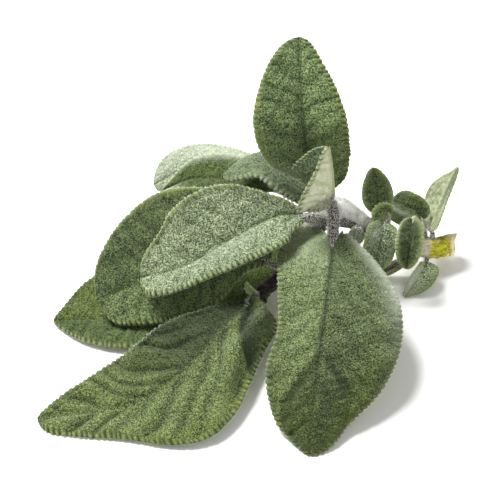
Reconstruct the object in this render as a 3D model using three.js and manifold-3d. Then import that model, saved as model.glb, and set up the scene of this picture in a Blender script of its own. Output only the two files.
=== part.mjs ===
// A cut sprig of common sage, lying on its side on a flat surface.
// Millimetres, +Z up, z = 0 is the surface. The cut end of the stem points along +X.
import * as THREE from 'three';
import { mergeVertices } from 'three/addons/utils/BufferGeometryUtils.js';
import Module from 'manifold-3d';

const wasm = await Module();
wasm.setup();

// ---- sizes that hold for the whole sprig (mm) ----
const BLADE_THICKNESS = 0.75;   // a velvety leaf, hairs included
const TOOTH_PITCH = 1.5;        // distance between the rounded teeth of a margin
const TOOTH_DEPTH = 0.4;
const JOINT_GAP = 0.3;          // clearance between the stem and what is held against it
const RIB_HALF_WIDTH = 0.9;
const VEIN_SWEEP = 0.1;         // how far side veins run forward on their way to the margin
const ROLL_START = 0.7;         // part of the half blade where a rolled margin begins
const CURVE_STEPS = 400;
const MARGIN_STEPS = 300;       // how finely a margin is measured when its teeth are spread out
const BEND_STEPS = 12;          // straight pieces that add up to a curled half blade
const FINEST_EDGE = 0.005;      // shorter edges left by a cut or join are closed up

const vec = (p) => new THREE.Vector3(p[0], p[1], p[2]);
const mix = (a, b, t) => a + (b - a) * t;
const smooth = (x) => {
  const t = THREE.MathUtils.clamp(x, 0, 1);
  return t * t * (3 - 2 * t);
};

function smoothCurve(points) {
  const curve = new THREE.CatmullRomCurve3(points.map(vec), false, 'catmullrom', 0.5);
  curve.arcLengthDivisions = CURVE_STEPS;
  return curve;
}

// A number that runs smoothly through evenly spaced stations, t from 0 to 1.
function along(stations, t) {
  const last = stations.length - 1;
  const at = (i) => {
    if (i < 0) return 2 * stations[0] - stations[1];
    if (i > last) return 2 * stations[last] - stations[last - 1];
    return stations[i];
  };
  const x = Math.min(t * last, last - 1e-9);
  const i = Math.floor(x);
  const f = x - i;
  const [p0, p1, p2, p3] = [at(i - 1), at(i), at(i + 1), at(i + 2)];
  const m1 = (p2 - p0) / 2;
  const m2 = (p3 - p1) / 2;
  const h = f * f * (3 - 2 * f);
  return p1 * (1 - h) + p2 * h + m1 * (f - 2 * f * f + f ** 3) + m2 * (f ** 3 - f * f);
}

// Half widths of a plain oval leaf that is `half` wide on one side.
const oval = (half) => [0.4, 0.72, 0.93, 1, 0.92, 0.7, 0.38].map((k) => k * half);

// ---- solids ----
function closedGeometry(points, triangles) {
  const geometry = new THREE.BufferGeometry().setFromPoints(points);
  return geometry.setIndex(triangles);
}

function solidOf(geometry) {
  return new wasm.Manifold(new wasm.Mesh({
    numProp: 3,
    vertProperties: new Float32Array(geometry.getAttribute('position').array),
    triVerts: new Uint32Array(geometry.index.array),
    tolerance: FINEST_EDGE,
  }));
}

// A round rod through `centres`, with one radius for each. `slant` tilts its first end face, up and
// sideways, and `square` flattens its four sides.
function rod(centres, radii, sides, slant, square) {
  const count = centres.length;
  const points = [];
  const triangles = [];
  const ahead = centres.map((c, i) => new THREE.Vector3()
    .subVectors(centres[Math.min(i + 1, count - 1)], centres[Math.max(i - 1, 0)]).normalize());
  const side = new THREE.Vector3(0, 0, 1).addScaledVector(ahead[0], -ahead[0].z);
  side.normalize();
  for (let k = 0; k < count; k++) {
    side.addScaledVector(ahead[k], -side.dot(ahead[k])).normalize();
    const other = new THREE.Vector3().crossVectors(ahead[k], side);
    for (let j = 0; j < sides; j++) {
      const turn = (2 * Math.PI * j) / sides;
      const r = radii[k] * (1 + square * Math.cos(4 * turn));
      const tilt = k === 0 ? r * (slant[0] * Math.cos(turn) + slant[1] * Math.sin(turn)) : 0;
      points.push(centres[k].clone()
        .addScaledVector(side, r * Math.cos(turn))
        .addScaledVector(other, r * Math.sin(turn))
        .addScaledVector(ahead[k], tilt));
    }
  }
  for (let k = 0; k < count - 1; k++) {
    for (let j = 0; j < sides; j++) {
      const a = k * sides + j;
      const b = k * sides + ((j + 1) % sides);
      triangles.push(a, b, b + sides, a, b + sides, a + sides);
    }
  }
  for (const [k, first] of [[0, true], [count - 1, false]]) {
    const centre = points.push(centres[k]) - 1;
    for (let j = 0; j < sides; j++) {
      const a = k * sides + j;
      const b = k * sides + ((j + 1) % sides);
      if (first) triangles.push(centre, b, a);
      else triangles.push(centre, a, b);
    }
  }
  return solidOf(closedGeometry(points, triangles));
}

// A rod along a smooth path; radii are spread evenly over the path's control points.
function shoot({ path, radii, rings, sides, extra = 0, slant = [0, 0], square = 0 }) {
  const curve = smoothCurve(path);
  const centres = [];
  const sizes = [];
  for (let k = 0; k <= rings; k++) {
    const t = k / rings;
    centres.push(curve.getPoint(t));
    sizes.push(along(radii, t) + extra);
  }
  centres[rings].addScaledVector(curve.getTangent(1), extra);
  return rod(centres, sizes, sides, slant, square);
}

// ---- leaf form ----
// A leaf follows `path` from its foot to its tip. `stalk` is the part of the path before the blade
// and `stalkRadius` its radius at the foot and at the blade. `face` is the way the upper face
// looks. `left` and `right` are seven half widths from base to tip, as seen on the upper face with
// the tip pointing away. Each half rises by `fold` degrees at the midrib, `curl` more towards the
// margin, and `roll` more in its outermost part; a name with Tip gives the value at the tip.
// `lobe` draws the base of a half back into an ear, and each of `dents` raises one spot:
// [half, place along, place across, length, breadth, height].
const LEAF_DEFAULTS = {
  stalk: 0.1, stalkRadius: [0.85, 0.75], stalkRows: 4,
  fold: [8, 8], curl: [0, 0], roll: [0, 0], lobe: [0, 0], dents: [],
  rows: 12, columns: [0.4, 0.72], relief: 0.28, rib: 0.7,
};
const BASE_END = 0.1;           // part of the blade in which the stalk's shape dies out
const SETTLED = 0.12;           // where the folds are full
const HALFWAY = 0.7;            // a stalk's cross-section, in radii: a point halfway out ...
const HALFWAY_HEIGHT = 0.72;    // ... its height there ...
const SIDE_HEIGHT = 0.3;        // ... and its height at the side
const RIB_SHARE_BASE = 0.7;     // the most a midrib takes of a half blade at the base ...
const RIB_SHARE = 0.25;         // ... and beyond it
const RIB_TIP = 0.25;           // height of the midrib near the tip, as a part of `rib`
const RIB_END = 0.15;           // part of the blade over which the midrib runs out
const DEEPEST_TOOTH = 0.35;     // the most a notch takes of a half blade

const acrossTo = (direction, ahead) => direction.clone()
  .addScaledVector(ahead, -direction.dot(ahead)).normalize();

function prepare(spec) {
  const leaf = { ...LEAF_DEFAULTS, ...spec };
  leaf.curve = smoothCurve(leaf.path);
  leaf.up = vec(leaf.face).normalize();
  return leaf;
}

function stationAt(leaf, u) {
  const s = (1 - Math.cos(Math.PI * u)) / 2;
  const at = mix(leaf.stalk, 1, s);
  const ahead = leaf.curve.getTangentAt(at);
  const up = acrossTo(leaf.up, ahead);
  const neck = leaf.stalkRadius[1] * (1 - smooth(s / BASE_END));
  return {
    u, s, ahead, up,
    centre: leaf.curve.getPointAt(at),
    right: new THREE.Vector3().crossVectors(ahead, up),
    halves: [leaf.left, leaf.right].map((w) => Math.hypot(Math.max(along([0, ...w, 0], u), 0), neck)),
  };
}

const bend = (leaf, name, side, s) => THREE.MathUtils.degToRad(
  mix(leaf[name][side], (leaf[name + 'Tip'] ?? leaf[name])[side], s));

// A point of the middle surface: side 0 is left, 1 is right, t runs from midrib to margin.
function bladePoint(leaf, u, side, t) {
  const st = stationAt(leaf, u);
  const width = st.halves[side];
  const settled = smooth(u / SETTLED);
  const [fold, curl, roll] = ['fold', 'curl', 'roll'].map((name) => settled * bend(leaf, name, side, st.s));
  let out = 0;
  let rise = 0;
  for (let k = 0; k < BEND_STEPS; k++) {
    const q = ((k + 0.5) / BEND_STEPS) * t;
    const angle = fold + curl * q + roll * smooth((q - ROLL_START) / (1 - ROLL_START));
    out += (Math.cos(angle) * t * width) / BEND_STEPS;
    rise += (Math.sin(angle) * t * width) / BEND_STEPS;
  }
  for (const [which, s, place, lengthwise, across, height] of leaf.dents) {
    if (which !== side) continue;
    rise += height * Math.exp(-(((st.s - s) / lengthwise) ** 2) - ((t - place) / across) ** 2);
  }
  const ear = (u / SETTLED) * Math.exp(1 - u / SETTLED);
  return st.centre
    .addScaledVector(st.right, side ? out : -out)
    .addScaledVector(st.up, rise)
    .addScaledVector(st.ahead, -leaf.lobe[side] * t ** 1.5 * ear);
}

// Margin points from base to tip, valley and tooth by turns, evenly spaced.
function margin(leaf, side) {
  const walk = [];
  let length = 0;
  let last = null;
  for (let k = 0; k <= MARGIN_STEPS; k++) {
    const p = bladePoint(leaf, k / MARGIN_STEPS, side, 1);
    if (last) length += p.distanceTo(last);
    walk.push(length);
    last = p;
  }
  const teeth = Math.round(length / TOOTH_PITCH);
  const points = [];
  let k = 0;
  for (let j = 1; j < 2 * teeth; j++) {
    const goal = (length * j) / (2 * teeth);
    while (walk[k + 1] < goal) k += 1;
    const u = (k + (goal - walk[k]) / (walk[k + 1] - walk[k])) / MARGIN_STEPS;
    const width = stationAt(leaf, u).halves[side];
    const inward = j % 2 ? 0 : Math.min(TOOTH_DEPTH / width, DEEPEST_TOOTH);
    points.push({ u, point: bladePoint(leaf, u, side, 1 - inward) });
  }
  return points;
}

// Cross-sections of the stalk from the foot to the blade, carried back without twisting.
function stalkStations(leaf) {
  const stations = [];
  let { up } = stationAt(leaf, 0);
  for (let k = leaf.stalkRows - 1; k >= 0; k--) {
    const part = k / leaf.stalkRows;
    const ahead = leaf.curve.getTangentAt(leaf.stalk * part);
    up = acrossTo(up, ahead);
    stations.unshift({
      centre: leaf.curve.getPointAt(leaf.stalk * part),
      right: new THREE.Vector3().crossVectors(ahead, up),
      radius: mix(leaf.stalkRadius[0], leaf.stalkRadius[1], part),
    });
  }
  return stations;
}

// A whole leaf: one middle surface, copied to the upper and the lower face with the same
// triangles. The side veins lie in the valleys between rows raised by `relief`, and the midrib
// stands out of the lower face by `rib`.
function leafSolid(spec) {
  const leaf = prepare(spec);
  const half = BLADE_THICKNESS / 2;
  const middle = [];
  const add = (point, above = half, below = half) => middle.push({ point, above, below }) - 1;
  const rows = Array.from({ length: leaf.rows - 1 }, (_, k) => (k + 1) / leaf.rows);
  const body = (u, round, rib) => {
    const s = (1 - Math.cos(Math.PI * u)) / 2;
    const blend = smooth(s / BASE_END);
    const ribDepth = rib * mix(1, RIB_TIP, u) * smooth((1 - u) / RIB_END);
    const stalkHalf = round * leaf.stalkRadius[1];
    return [mix(stalkHalf, half, blend), mix(stalkHalf, half + ribDepth, blend)];
  };
  const stalk = stalkStations(leaf);
  const tip = add(bladePoint(leaf, 1, 0, 0));
  const midrib = {
    at: [...stalk.map((_, k) => k - stalk.length), 0, ...rows, 1],
    index: [...stalk.map(({ centre, radius }) => add(centre, radius, radius)),
      ...[0, ...rows].map((u) => add(bladePoint(leaf, u, 0, 0), ...body(u, 1, leaf.rib))), tip],
  };
  const faces = [];
  const rims = [];
  for (const side of [0, 1]) {
    const outward = side ? 1 : -1;
    const beside = (reach, round) => stalk.map(({ centre, right, radius }) => add(
      centre.clone().addScaledVector(right, outward * reach * radius), round * radius, round * radius));
    const edgeShare = (u) => Math.min(RIB_HALF_WIDTH / stationAt(leaf, u).halves[side],
      mix(RIB_SHARE_BASE, RIB_SHARE, smooth(u / SETTLED)));
    const ribEdge = {
      at: midrib.at,
      index: [...beside(HALFWAY, HALFWAY_HEIGHT), ...[0, ...rows].map((u) => add(
        bladePoint(leaf, u, side, edgeShare(u)), ...body(u, HALFWAY_HEIGHT, 0))), tip],
    };
    const rim = margin(leaf, side);
    const rimLine = {
      at: [...stalk.map((_, k) => k - stalk.length), 0, ...rim.map((m) => m.u), 1],
      index: [...beside(1, SIDE_HEIGHT), add(bladePoint(leaf, 0, side, 1), ...body(0, SIDE_HEIGHT, 0)),
        ...rim.map((m) => add(m.point)), tip],
    };
    const fork = stalk.length;
    const branch = ribEdge.index[fork];
    const fromFork = (line) => ({ at: line.at.slice(fork), index: line.index.slice(fork) });
    const upToFork = (line) => ({ at: line.at.slice(0, fork + 1), index: line.index.slice(0, fork + 1) });
    const veined = leaf.columns.map((t) => {
      const at = rows.map((u) => u + VEIN_SWEEP * t * Math.sin(Math.PI * u));
      const index = at.map((u, k) => {
        const lift = leaf.relief * (k % 2 ? -1 : 1) * 4 * t * (1 - t);
        return add(bladePoint(leaf, u, side, t).addScaledVector(stationAt(leaf, u).up, lift));
      });
      return { at: [0, ...at, 1], index: [branch, ...index, tip] };
    });
    const forward = side === 1;
    stitch(midrib, ribEdge, forward, faces);
    stitch(upToFork(ribEdge), upToFork(rimLine), forward, faces);
    [...veined, fromFork(rimLine)].reduce((inner, outer) => {
      stitch(inner, outer, forward, faces);
      return outer;
    }, fromFork(ribEdge));
    rims.push({ foot: ribEdge.index[0], index: rimLine.index });
  }
  const [left, right] = rims;
  const loop = [midrib.index[0], right.foot, ...right.index, ...left.index.slice(0, -1).reverse(), left.foot];
  return thicken(middle, faces, loop);
}

// Fills the strip between two lines of points, each with its place along the leaf.
function stitch(inner, outer, forward, faces) {
  let i = 0;
  let j = 0;
  const push = (a, b, c) => {
    if (a !== b && b !== c && c !== a) faces.push(forward ? [a, b, c] : [a, c, b]);
  };
  while (i < inner.index.length - 1 || j < outer.index.length - 1) {
    const innerNext = i < inner.index.length - 1 ? inner.at[i + 1] : Infinity;
    const outerNext = j < outer.index.length - 1 ? outer.at[j + 1] : Infinity;
    if (outerNext <= innerNext) {
      push(inner.index[i], outer.index[j], outer.index[j + 1]);
      j += 1;
    } else {
      push(inner.index[i], outer.index[j], inner.index[i + 1]);
      i += 1;
    }
  }
}

function thicken(middle, faces, loop) {
  const normals = middle.map(() => new THREE.Vector3());
  for (const [a, b, c] of faces) {
    const normal = new THREE.Vector3().crossVectors(
      middle[b].point.clone().sub(middle[a].point), middle[c].point.clone().sub(middle[a].point));
    for (const k of [a, b, c]) normals[k].add(normal);
  }
  normals.forEach((normal) => normal.normalize());
  const points = [
    ...middle.map(({ point, above }, k) => point.clone().addScaledVector(normals[k], above)),
    ...middle.map(({ point, below }, k) => point.clone().addScaledVector(normals[k], -below)),
  ];
  const count = middle.length;
  const triangles = [];
  for (const [a, b, c] of faces) triangles.push(a, b, c, a + count, c + count, b + count);
  loop.forEach((p, k) => {
    const q = loop[(k + 1) % loop.length];
    triangles.push(p, p + count, q + count, p, q + count, q);
  });
  return solidOf(closedGeometry(points, triangles));
}

// ---- the sprig ----
const MAIN_STEM = {
  path: [[48, 14, 5], [43, 12, 6], [35.5, 10.5, 9], [28.5, 11, 13], [19.5, 12, 18], [14, 9, 13],
    [8, 0, 10], [1.5, -5, 7.5]],
  radii: [2.9, 2.6, 2.1, 2.3, 2.8, 1.9, 1.9, 1.5],
  rings: 32,
  sides: 12,
  slant: [-0.35, -0.75],
  square: 0.05,
};

const TIP_LEAF = {
  path: [[1.75, -4.75, 7.5], [0, -7.25, 10.75], [-1.5, -7, 13.25]],
  stalk: 0.4, face: [-0.3, -0.6, 0.6], left: oval(1.2), right: oval(1.2), fold: [30, 30],
  rows: 4, columns: [], relief: 0, stalkRadius: [0.6, 0.5], stalkRows: 2, rib: 0.3,
};

const YOUNG = { rows: 6, columns: [0.55], relief: 0.12, stalkRadius: [0.6, 0.5], rib: 0.4 };

const LEAVES = {
  top_leaf: {
    path: [[19.5, 12, 18], [17, 16.5, 21], [13.5, 19, 27.5], [12, 22, 38.5], [11, 37, 51]],
    stalk: 0.11, face: [0.1, -0.8, 0.55],
    left: [1.5, 4.4, 10.6, 12.2, 10.6, 7.6, 4], right: [6.6, 9.7, 10.4, 10.3, 8.2, 5.2, 2.8],
    curl: [5, 5],
  },
  cupped_young_leaf: {
    path: [[18, 11.25, 18], [18.5, 10, 27], [18.25, 10.5, 33.5], [17.5, 12.25, 38.75]],
    stalk: 0.32, face: [-1, -0.08, -0.2],
    left: [6, 9, 10.7, 9.8, 8.3, 6.5, 4.5], right: [9, 10, 9, 6.7, 4.3, 2.3, 1],
    fold: [54, 58], rows: 10, relief: 0.2,
  },
  arched_leaf: {
    path: [[17, 11, 17.5], [12, 15.5, 21], [3, 21, 25.5], [-6.5, 20.5, 21.5]],
    stalk: 0.14, face: [0, 0.35, 0.9],
    left: oval(6), right: [3, 6, 8, 9, 9.5, 9.5, 6.5],
    fold: [0, 0], curl: [-10, -10], roll: [-60, -20], rows: 10, columns: [0.4, 0.7, 0.87], relief: 0.2,
  },
  front_left_leaf: {
    path: [[16.5, 10, 17], [13, 8, 20], [6, 7.5, 21], [-3.5, 2, 20], [-15.5, -3, 15], [-26, -3, 11]],
    stalk: 0.12, face: [0, -0.38, 0.92],
    left: [4, 8, 9, 8, 6.4, 6.2, 4.8], right: [2, 5.2, 11.4, 13.8, 12, 7.2, 3.4],
    fold: [22, 22], curl: [-10, 0],
  },
  left_leaf: {
    path: [[8, 0, 10.5], [-0.5, 0.5, 14], [-16.5, -1, 12], [-36.5, -4.5, 5]],
    stalk: 0.1, face: [-0.1, -0.54, 0.84],
    left: [2, 4, 9.6, 12.3, 11, 8.2, 4.6], right: [8, 15, 18, 19.3, 16.5, 11.5, 5.5],
    fold: [5, 5], dents: [[0, 0.3, 1, 0.15, 0.35, -1]],
  },
  far_left_leaf: {
    path: [[9, 1.5, 11], [2.5, 2.5, 4.5], [-12.5, -1.5, 2], [-29, -6, 0.8], [-47, -7, 0.4]],
    stalk: 0.06, face: [0, 0, 1],
    left: [6, 9, 10, 11, 11, 8.2, 3.6], right: [10, 12, 13, 14.5, 15.5, 12.6, 4.2],
    fold: [5, 5], lobe: [0, 2],
  },
  lower_left_leaf: {
    path: [[1, -5, 7.5], [-3, -11.5, 8], [-8.5, -19, 7.5], [-16.5, -29, 5.5], [-28.5, -35.5, 2],
      [-49, -38, 0.5]],
    stalk: 0.06, face: [0.1, -0.1, 1],
    left: [8.4, 10.6, 13.4, 17, 8.8, 6.2, 4.2], right: [3.3, 7, 12, 12.8, 12.3, 7.8, 3],
    fold: [0, 5], lobe: [2.5, 0], dents: [[0, 0.12, 0.55, 0.2, 0.14, 3.2], [0, 0.2, 1, 0.2, 0.3, -2]],
    rows: 14, relief: 0.45,
  },
  lower_right_leaf: {
    path: [[19.5, 12, 18], [19, 4, 16.5], [17.5, -11.5, 17], [15.5, -26.5, 13], [13.5, -40, 5],
      [13, -48.5, 0.25]],
    stalk: 0.13, face: [0, -0.3, 0.95],
    left: [4.5, 11.5, 17.5, 19, 16, 9.2, 4.8], right: [9.6, 12.6, 11.8, 10.5, 12, 9, 3.4],
    fold: [-5, 0], foldTip: [-5, -14], curl: [0, -8], roll: [-40, 0], lobe: [3, 6],
    dents: [[1, 0.5, 0.15, 0.05, 0.25, 0.7], [1, 0.57, 0.4, 0.05, 0.25, 0.9], [1, 0.64, 0.7, 0.06, 0.25, 0.9]],
    rows: 14, columns: [0.36, 0.7, 0.87], stalkRadius: [1.3, 1.1], rib: 0.9,
  },
  back_left_leaf: {
    path: [[21.5, 12.5, 15], [9, 27, 11.5], [-3, 36, 10], [-15, 41, 5], [-24.5, 40, 0.2]],
    stalk: 0.3, face: [0, 0, 1],
    left: [2, 3.6, 6.6, 8, 7.4, 5.6, 3], right: [3, 4.6, 4.6, 5.8, 7.3, 6.4, 3.4],
    fold: [0, 0], foldTip: [0, 20],
  },
  back_leaf: {
    path: [[19, 12, 16], [6.5, 22.5, 15], [-5.5, 28, 13.5], [-15, 31, 10.5], [-22.5, 31.5, 6]],
    stalk: 0.36, face: [0, -0.2, 1],
    left: [2.6, 5.8, 8.4, 9, 8.3, 6.3, 3.4], right: [2.4, 5, 6.5, 7, 6, 2.5, 0.9],
    fold: [15, 15], roll: [0, -60], rollTip: [0, 0],
  },
  upright_narrow_leaf: {
    path: [[43.5, 12.25, 6], [43.25, 12.75, 9.5], [43.6, 14.25, 11.5], [45.3, 17, 16], [47.1, 18.75, 20.5],
      [49, 19.5, 25.5]],
    stalk: 0.2, face: [0.6, 0.5, 0.2],
    left: [1.2, 1.6, 1.6, 1.4, 1.2, 0.9, 0.5], right: [5.5, 7, 7.1, 6, 3.6, 1.5, 0.7],
    fold: [10, 10], rows: 8, relief: 0.12, stalkRadius: [0.7, 0.6], rib: 0.5,
  },
  low_small_leaf: {
    ...YOUNG,
    path: [[42.75, 12.25, 6], [41.75, 8.5, 4.5], [39.75, 4.75, 2.5], [36.5, 1, 0.15]],
    stalk: 0.28, face: [0, -0.3, 0.9],
    left: [3, 3.9, 4, 3.7, 2.8, 1.4, 0.6], right: [1.2, 1.6, 1.9, 2, 1.8, 1.3, 0.9],
    fold: [5, 5],
  },
  curled_young_leaf: {
    ...YOUNG,
    path: [[25.5, 10.75, 14.5], [25.5, 7.25, 16.25], [24.5, 7.5, 17], [24, 7.5, 14.75], [24.25, 7.75, 10.5]],
    stalk: 0.45, face: [0.3, -0.6, 0.5],
    left: oval(1.8), right: oval(1.8),
    fold: [30, 30], relief: 0,
  },
  hidden_small_leaf: {
    ...YOUNG,
    path: [[37.5, 10.75, 8], [38, 10, 4.5], [34.25, 8.75, 2.5], [29.25, 7.5, 0.2]],
    stalk: 0.3, face: [0, -0.2, 0.9],
    left: oval(1.8), right: oval(1.8),
    fold: [20, 20],
  },
};

const SIDE_SHOOTS = {
  inner_side_shoot: {
    stem: { path: [[29.5, 11, 12], [31.25, 10.75, 13.5], [32, 10.5, 16]], radii: [1.1, 1, 0.8] },
    leaves: [
      {
        ...YOUNG,
        path: [[29.25, 11, 11], [31.25, 11.75, 14], [30.5, 12, 17], [29.5, 15.25, 22], [28.5, 17.75, 27]],
        stalk: 0.4, face: [0.2, -0.75, 0.6],
        left: [2, 3.2, 3.9, 3.8, 3.2, 2.2, 1.2], right: [2, 3.2, 3.9, 3.8, 3.2, 2.2, 1.2],
        fold: [5, 5],
      },
      {
        ...YOUNG,
        path: [[29.75, 10.5, 10], [32.25, 10.5, 13.5], [31.5, 10.5, 17], [30.5, 5.5, 14.5], [28.5, 2.75, 7.25]],
        stalk: 0.42, face: [0, -0.75, 0.66],
        left: [2.4, 3.6, 3.9, 3.9, 3.7, 2.7, 1.3], right: [2.6, 4, 4.3, 4.3, 4.1, 3, 1.6],
        fold: [5, 20],
      },
      {
        ...YOUNG,
        path: [[29.75, 10.5, 10], [32.25, 11, 14], [32.25, 11.75, 18.5], [30.5, 11, 19], [29, 9, 17.5]],
        stalk: 0.56, face: [0.1, -0.7, 0.7],
        left: oval(2), right: oval(2),
        fold: [-15, -15], relief: 0,
      },
    ],
  },
  outer_side_shoot: {
    stem: { path: [[41.5, 12, 6.25], [41.25, 13, 8.5], [41, 13.5, 10.5]], radii: [1.1, 1, 0.9] },
    leaves: [
      {
        ...YOUNG,
        path: [[41.5, 12, 6.25], [41, 13.25, 10.5], [38.5, 12, 16], [37.5, 5.5, 15], [36.5, 0.75, 10]],
        stalk: 0.48, face: [0, -0.75, 0.66],
        left: oval(3.2), right: oval(3.9),
        fold: [14, 22],
      },
      {
        ...YOUNG,
        path: [[41.5, 12, 6.25], [41.25, 13.75, 10], [40.25, 15.25, 13.5], [37, 16.75, 15], [33.75, 20, 14]],
        stalk: 0.42, face: [0, -0.5, 0.8],
        left: oval(4.3), right: [2, 3.3, 3.9, 3.9, 3.8, 3.2, 2],
        fold: [20, 10],
      },
      {
        ...YOUNG,
        path: [[41.5, 12, 6.25], [40.75, 14.75, 9.5], [39.25, 18.75, 11], [37.75, 24.75, 12]],
        stalk: 0.5, face: [0, -0.5, 0.8],
        left: oval(2.2), right: oval(2.2),
        fold: [20, 10],
      },
    ],
  },
};

const COLOURS = {
  stem: 0x6b5a4c,
  leaf: 0x6f8a5b,
  paleLeaf: 0x93a883,
  youngLeaf: 0x87996f,
};
const PALE = ['back_left_leaf', 'back_leaf', 'upright_narrow_leaf', 'cupped_young_leaf'];

const stemSolid = shoot(MAIN_STEM);
const looseTipLeaf = { ...TIP_LEAF, stalkRadius: TIP_LEAF.stalkRadius.map((r) => r + JOINT_GAP) };
const stemSocket = shoot({ ...MAIN_STEM, extra: JOINT_GAP }).add(leafSolid(looseTipLeaf));
const underground = new THREE.BoxGeometry(200, 200, 20).translate(0, 0, -10);
underground.deleteAttribute('normal').deleteAttribute('uv');
const below = solidOf(mergeVertices(underground));

// What is held by the stem ends just clear of it, and what lies on the surface is flat there.
const seated = (solid) => solid.subtract(stemSocket).subtract(below);

function meshOf(name, solid, colour) {
  const { numProp, vertProperties, triVerts } = solid.getMesh();
  const positions = [];
  for (let i = 0; i < vertProperties.length; i += numProp) {
    positions.push(vertProperties[i], vertProperties[i + 1], vertProperties[i + 2]);
  }
  const geometry = new THREE.BufferGeometry();
  geometry.setAttribute('position', new THREE.Float32BufferAttribute(positions, 3));
  geometry.setIndex(Array.from(triVerts));
  geometry.computeVertexNormals();
  const material = new THREE.MeshStandardMaterial({ name: `${name}_surface`, color: colour, roughness: 0.85, metalness: 0 });
  const mesh = new THREE.Mesh(geometry, material);
  mesh.name = name;
  return mesh;
}

const sprig = new THREE.Group();
sprig.name = 'sage_sprig';
sprig.add(meshOf('stem', stemSolid.add(leafSolid(TIP_LEAF)), COLOURS.stem));
for (const [name, spec] of Object.entries(LEAVES)) {
  sprig.add(meshOf(name, seated(leafSolid(spec)), PALE.includes(name) ? COLOURS.paleLeaf : COLOURS.leaf));
}
for (const [name, { stem, leaves }] of Object.entries(SIDE_SHOOTS)) {
  const twig = shoot({ ...stem, rings: 6, sides: 8 });
  const solid = leaves.reduce((sum, spec) => sum.add(leafSolid(spec)), twig);
  sprig.add(meshOf(name, seated(solid), COLOURS.youngLeaf));
}

export default sprig;
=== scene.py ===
import math
import bpy
import numpy as np
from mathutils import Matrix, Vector


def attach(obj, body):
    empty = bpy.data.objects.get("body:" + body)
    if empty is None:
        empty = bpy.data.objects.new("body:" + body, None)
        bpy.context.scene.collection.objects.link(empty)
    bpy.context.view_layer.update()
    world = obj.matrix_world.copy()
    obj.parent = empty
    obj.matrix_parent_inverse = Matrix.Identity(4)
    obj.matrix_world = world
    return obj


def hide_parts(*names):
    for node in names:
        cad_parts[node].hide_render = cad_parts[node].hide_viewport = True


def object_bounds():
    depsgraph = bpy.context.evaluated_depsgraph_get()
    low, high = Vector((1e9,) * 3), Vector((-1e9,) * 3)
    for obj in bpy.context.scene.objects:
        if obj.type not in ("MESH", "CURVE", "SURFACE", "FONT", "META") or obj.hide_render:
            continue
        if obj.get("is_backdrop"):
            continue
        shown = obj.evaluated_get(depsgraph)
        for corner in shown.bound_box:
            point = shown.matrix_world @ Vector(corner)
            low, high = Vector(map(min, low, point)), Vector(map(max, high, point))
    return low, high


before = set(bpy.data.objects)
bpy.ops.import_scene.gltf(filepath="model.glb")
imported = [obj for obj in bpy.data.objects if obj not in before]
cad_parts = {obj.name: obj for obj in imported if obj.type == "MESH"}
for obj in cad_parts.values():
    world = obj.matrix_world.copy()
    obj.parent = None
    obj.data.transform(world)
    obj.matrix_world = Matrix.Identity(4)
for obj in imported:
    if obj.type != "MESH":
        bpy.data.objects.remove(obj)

# Sizes are in millimetres; MM turns them into Blender's metres.
MM = 0.001
CAD_LOW, CAD_HIGH = (np.array(corner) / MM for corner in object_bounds())
INSIDE = 0.01  # every point stays this far inside the CAD box

# ---- form constants, the same as in the CAD source ----
ROLL_START = 0.7  # share of the half width where a rolled margin starts
SETTLED = 0.12  # share of the blade over which its folds settle in
CURVE_STEPS = 400  # points on a centre line
OVAL = (0.4, 0.72, 0.93, 1, 0.92, 0.7, 0.38)

# ---- how fine the meshes are ----
SEGMENT_STEPS = 60  # points between two corners of a path
BEND_STEPS = 60  # steps in which a half blade is bent
RIM_STEPS = 500  # places at which a margin is measured
ROWS = {"large": 280, "small": 120}
COLUMNS = {"large": 27, "small": 16}
STALK_RINGS = {"large": 90, "small": 50}
TWIG_RINGS = 30
STEM_RINGS = 220
END_RINGS = (1.0, 0.8, 0.55, 0.3)

# ---- relief of a blade ----
SKIN = 0.27  # half the thickness of a blade
EDGE_ROUND = 0.55  # width of the rounded edge
MARGIN = 0.9  # width of the band that counts as margin
TOOTH_ROUND = 0.6  # under 1 for full teeth with narrow notches
TOOTH_RISE, NOTCH_DROP = 0.24, 0.2
VEIN_WIDTH = (0.55, 0.3)  # at the midrib, at the margin
MIDRIB_WIDTH = (0.6, 0.25)  # at the base, at the tip
RIB_DEPTH = 0.22  # how far the midrib stands out below
VEIN_STRENGTHS = 80  # how many veins differ before they repeat
PEBBLE_SIZE, PEBBLE_HEIGHT = 1.7, 0.075
WAVE_SIZE = 8
CREASE_SIDES = 0.15  # how far the painted light and shade beside a crease reach
CREASE_TURN = 0.03  # how soon they are


join = np.concatenate


def oval(half):
    """Widths at the seven stations of a plain oval leaf."""
    return [half * k for k in OVAL]


def unit(v):
    return v / np.maximum(np.linalg.norm(v, axis=-1, keepdims=True), 1e-9)


def smooth(x):
    x = np.clip(x, 0, 1)
    return x * x * (3 - 2 * x)


def mix(a, b, t):
    return a + (b - a) * t


def bell(x):
    return np.exp(-x * x)


# ---- curves ----
def along(stations, t):
    """Values that run smoothly through evenly spaced stations, t from 0 to 1."""
    w = np.array(stations, float)
    n = len(w) - 1
    ext = join([[2 * w[0] - w[1]], w, [2 * w[-1] - w[-2]]])
    x = np.clip(np.asarray(t, float) * n, 0, n - 1e-9)
    i = x.astype(int)
    f = (x - i).reshape(x.shape + (1,) * (w.ndim - 1))
    p0, p1, p2, p3 = ext[i], ext[i + 1], ext[i + 2], ext[i + 3]
    m1, m2 = (p2 - p0) / 2, (p3 - p1) / 2
    h = f * f * (3 - 2 * f)
    return p1 * (1 - h) + p2 * h + m1 * (f - 2 * f**2 + f**3) + m2 * (f**3 - f**2)


def walked(line):
    """The distance walked along a line of points, at each of them."""
    return join([[0], np.cumsum(np.linalg.norm(np.diff(line, axis=0), axis=1))])


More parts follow.
